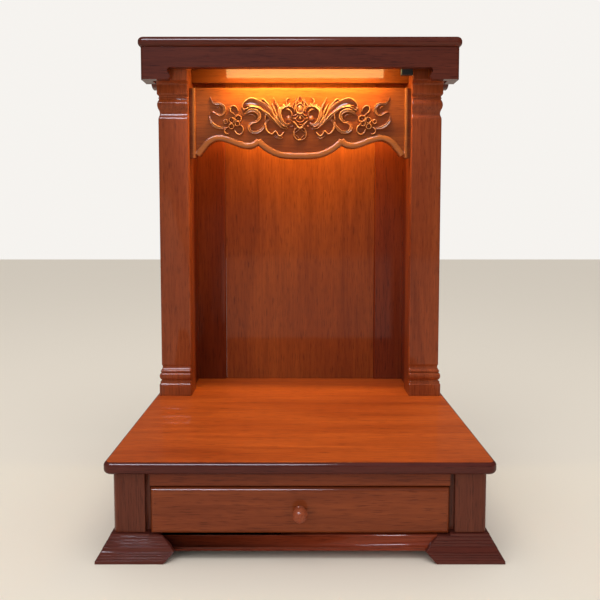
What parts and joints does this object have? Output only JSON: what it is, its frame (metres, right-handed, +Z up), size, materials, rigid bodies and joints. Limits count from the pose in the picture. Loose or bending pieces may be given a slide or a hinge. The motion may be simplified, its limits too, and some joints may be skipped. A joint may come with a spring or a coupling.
{
  "type": "household altar cabinet",
  "caption": "Varnished hardwood household altar cabinet: a low case with a drawer on stepped feet, an offering board, and a lamp-lit niche with square columns, a carved frieze and a cornice.",
  "frame": {"origin": "on the floor, under the middle of the cabinet's box", "axes": "+Z up, -Y is the front with the drawer, +X to the right as seen from the front"},
  "size_m": [0.582, 0.5633, 0.804],
  "materials": {
    "dark_wood": "gloss varnish",
    "red_wood": "gloss varnish",
    "panel_wood": "gloss varnish",
    "inner_wood": "plain sanded",
    "lamp_body": "moulded",
    "lamp_lens": "frosted",
    "lamp_plug": "moulded"
  },
  "bodies": {
    "cabinet": {"foot_front_right": "dark_wood", "foot_front_left": "dark_wood", "foot_rear_right": "dark_wood", "foot_rear_left": "dark_wood", "skirt_front": "dark_wood", "skirt_right": "dark_wood", "skirt_left": "dark_wood", "skirt_back": "dark_wood", "base_top": "dark_wood", "fascia_front": "dark_wood", "fascia_right": "dark_wood", "fascia_left": "dark_wood", "canopy_board": "dark_wood", "post_front_right": "red_wood", "post_front_left": "red_wood", "post_rear_right": "red_wood", "post_rear_left": "red_wood", "rail_front": "red_wood", "case_side_right": "red_wood", "case_side_left": "red_wood", "column_right": "red_wood", "column_left": "red_wood", "case_back": "panel_wood", "side_panel_right": "panel_wood", "side_panel_left": "panel_wood", "back_stile_right": "panel_wood", "back_stile_left": "panel_wood", "back_panel": "panel_wood", "header_rail": "panel_wood", "frieze": "panel_wood", "drawer_runner_right": "inner_wood", "drawer_runner_left": "inner_wood", "lamp_body": "lamp_body", "lamp_lens": "lamp_lens", "lamp_plug": "lamp_plug"},
    "drawer": {"drawer_front": "red_wood", "drawer_knob": "red_wood", "drawer_side_right": "inner_wood", "drawer_side_left": "inner_wood", "drawer_back": "inner_wood", "drawer_bottom": "inner_wood"}
  },
  "joints": [
    {"name": "drawer_slide", "type": "slide", "parent": "cabinet", "child": "drawer", "axis": [0, -1, 0], "range_m": [0, 0.3]}
  ]
}
